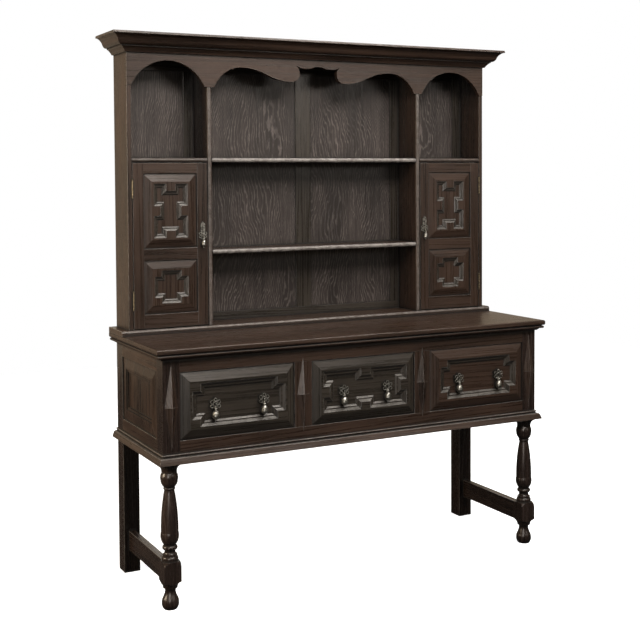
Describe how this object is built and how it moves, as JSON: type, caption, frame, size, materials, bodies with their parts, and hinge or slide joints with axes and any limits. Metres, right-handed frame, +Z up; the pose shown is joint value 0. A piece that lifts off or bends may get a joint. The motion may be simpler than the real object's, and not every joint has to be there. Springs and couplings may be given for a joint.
{
  "type": "sideboard dresser",
  "caption": "Dark oak dresser: a low base with moulded drawers on turned legs, under a plate rack with small cupboards, open shelves, an arched frieze and a cornice.",
  "frame": {"origin": "on the floor under the middle of the whole object's box", "axes": "+X along the width to the viewer's right, front faces -Y, +Z up"},
  "size_m": [1.614, 0.51, 1.901],
  "materials": {
    "dark_oak": "dark stained, waxed",
    "drawer_oak": "dark stained, waxed",
    "figured_oak": "dark stained, strong figure",
    "plain_oak": "unstained inside",
    "aged_brass": "aged, dull",
    "dark_iron": "dull"
  },
  "bodies": {
    "dresser": {"table_top": "dark_oak", "top_moulding": "dark_oak", "front_leg_left": "dark_oak", "front_leg_right": "dark_oak", "back_posts": "dark_oak", "side_stretchers": "dark_oak", "end_rails": "dark_oak", "end_panels": "dark_oak", "front_rails": "dark_oak", "drawer_dividers": "dark_oak", "carcase_back": "dark_oak", "diamond_bosses": "dark_oak", "base_moulding": "dark_oak", "drawer_runners": "plain_oak", "rack_sill": "dark_oak", "rack_side_left": "dark_oak", "rack_side_right": "dark_oak", "rack_partitions": "dark_oak", "centre_shelves": "dark_oak", "niche_shelves": "dark_oak", "rack_top": "dark_oak", "back_frame": "dark_oak", "back_panels": "figured_oak", "frieze_board": "dark_oak", "cornice": "dark_oak", "jamb_hinge_leaves": "aged_brass"},
    "drawer_left": {"drawer_front_left": "drawer_oak", "drawer_moulding_left": "drawer_oak", "drawer_box_left": "plain_oak", "pull_plates_left": "aged_brass"},
    "pull_left_left_drop": {"pull_left_left_drop": "aged_brass"},
    "pull_left_right_drop": {"pull_left_right_drop": "aged_brass"},
    "drawer_middle": {"drawer_front_middle": "drawer_oak", "drawer_moulding_middle": "drawer_oak", "drawer_box_middle": "plain_oak", "pull_plates_middle": "aged_brass"},
    "pull_middle_left_drop": {"pull_middle_left_drop": "aged_brass"},
    "pull_middle_right_drop": {"pull_middle_right_drop": "aged_brass"},
    "drawer_right": {"drawer_front_right": "drawer_oak", "drawer_moulding_right": "drawer_oak", "drawer_box_right": "plain_oak", "pull_plates_right": "aged_brass"},
    "pull_right_left_drop": {"pull_right_left_drop": "aged_brass"},
    "pull_right_right_drop": {"pull_right_right_drop": "aged_brass"},
    "door_left": {"door_frame_left": "dark_oak", "door_panels_left": "dark_oak", "door_mouldings_left": "dark_oak", "door_hinge_leaves_left": "aged_brass", "door_handle_plate_left": "aged_brass", "lock_case_left": "dark_iron"},
    "door_drop_left": {"door_drop_left": "aged_brass"},
    "lock_bolt_left": {"lock_bolt_left": "dark_iron"},
    "door_right": {"door_frame_right": "dark_oak", "door_panels_right": "dark_oak", "door_mouldings_right": "dark_oak", "door_hinge_leaves_right": "aged_brass", "door_handle_plate_right": "aged_brass", "lock_case_right": "dark_iron"},
    "door_drop_right": {"door_drop_right": "aged_brass"},
    "lock_bolt_right": {"lock_bolt_right": "dark_iron"}
  },
  "joints": [
    {"name": "drawer_left_slide", "type": "slide", "parent": "dresser", "child": "drawer_left", "axis": [0, -1, 0], "range_m": [0, 0.3]},
    {"name": "pull_left_left_drop_swing", "type": "hinge", "parent": "drawer_left", "child": "pull_left_left_drop", "pos_m": [-0.56607, -0.241, 0.664], "axis": [-1, 0, 0], "range_deg": [0, 75]},
    {"name": "pull_left_right_drop_swing", "type": "hinge", "parent": "drawer_left", "child": "pull_left_right_drop", "pos_m": [-0.39126, -0.241, 0.664], "axis": [-1, 0, 0], "range_deg": [0, 75]},
    {"name": "drawer_middle_slide", "type": "slide", "parent": "dresser", "child": "drawer_middle", "axis": [0, -1, 0], "range_m": [0, 0.3]},
    {"name": "pull_middle_left_drop_swing", "type": "hinge", "parent": "drawer_middle", "child": "pull_middle_left_drop", "pos_m": [-0.0874, -0.241, 0.664], "axis": [-1, 0, 0], "range_deg": [0, 75]},
    {"name": "pull_middle_right_drop_swing", "type": "hinge", "parent": "drawer_middle", "child": "pull_middle_right_drop", "pos_m": [0.0874, -0.241, 0.664], "axis": [-1, 0, 0], "range_deg": [0, 75]},
    {"name": "drawer_right_slide", "type": "slide", "parent": "dresser", "child": "drawer_right", "axis": [0, -1, 0], "range_m": [0, 0.3]},
    {"name": "pull_right_left_drop_swing", "type": "hinge", "parent": "drawer_right", "child": "pull_right_left_drop", "pos_m": [0.39126, -0.241, 0.664], "axis": [-1, 0, 0], "range_deg": [0, 75]},
    {"name": "pull_right_right_drop_swing", "type": "hinge", "parent": "drawer_right", "child": "pull_right_right_drop", "pos_m": [0.56607, -0.241, 0.664], "axis": [-1, 0, 0], "range_deg": [0, 75]},
    {"name": "door_left_hinge", "type": "hinge", "parent": "dresser", "child": "door_left", "pos_m": [-0.7248, 0.1085, 1.17102], "axis": [0, 0, -1], "range_deg": [0, 150]},
    {"name": "door_drop_left_swing", "type": "hinge", "parent": "door_left", "child": "door_drop_left", "pos_m": [-0.46613, 0.1024, 1.19897], "axis": [-1, 0, 0], "range_deg": [0, 75]},
    {"name": "lock_bolt_left_slide", "type": "slide", "parent": "door_left", "child": "lock_bolt_left", "axis": [1, 0, 0], "range_m": [0, 0.012]},
    {"name": "door_right_hinge", "type": "hinge", "parent": "dresser", "child": "door_right", "pos_m": [0.7248, 0.1085, 1.17102], "axis": [0, 0, 1], "range_deg": [0, 150]},
    {"name": "door_drop_right_swing", "type": "hinge", "parent": "door_right", "child": "door_drop_right", "pos_m": [0.46613, 0.1024, 1.19897], "axis": [-1, 0, 0], "range_deg": [0, 75]},
    {"name": "lock_bolt_right_slide", "type": "slide", "parent": "door_right", "child": "lock_bolt_right", "axis": [-1, 0, 0], "range_m": [0, 0.012]}
  ]
}
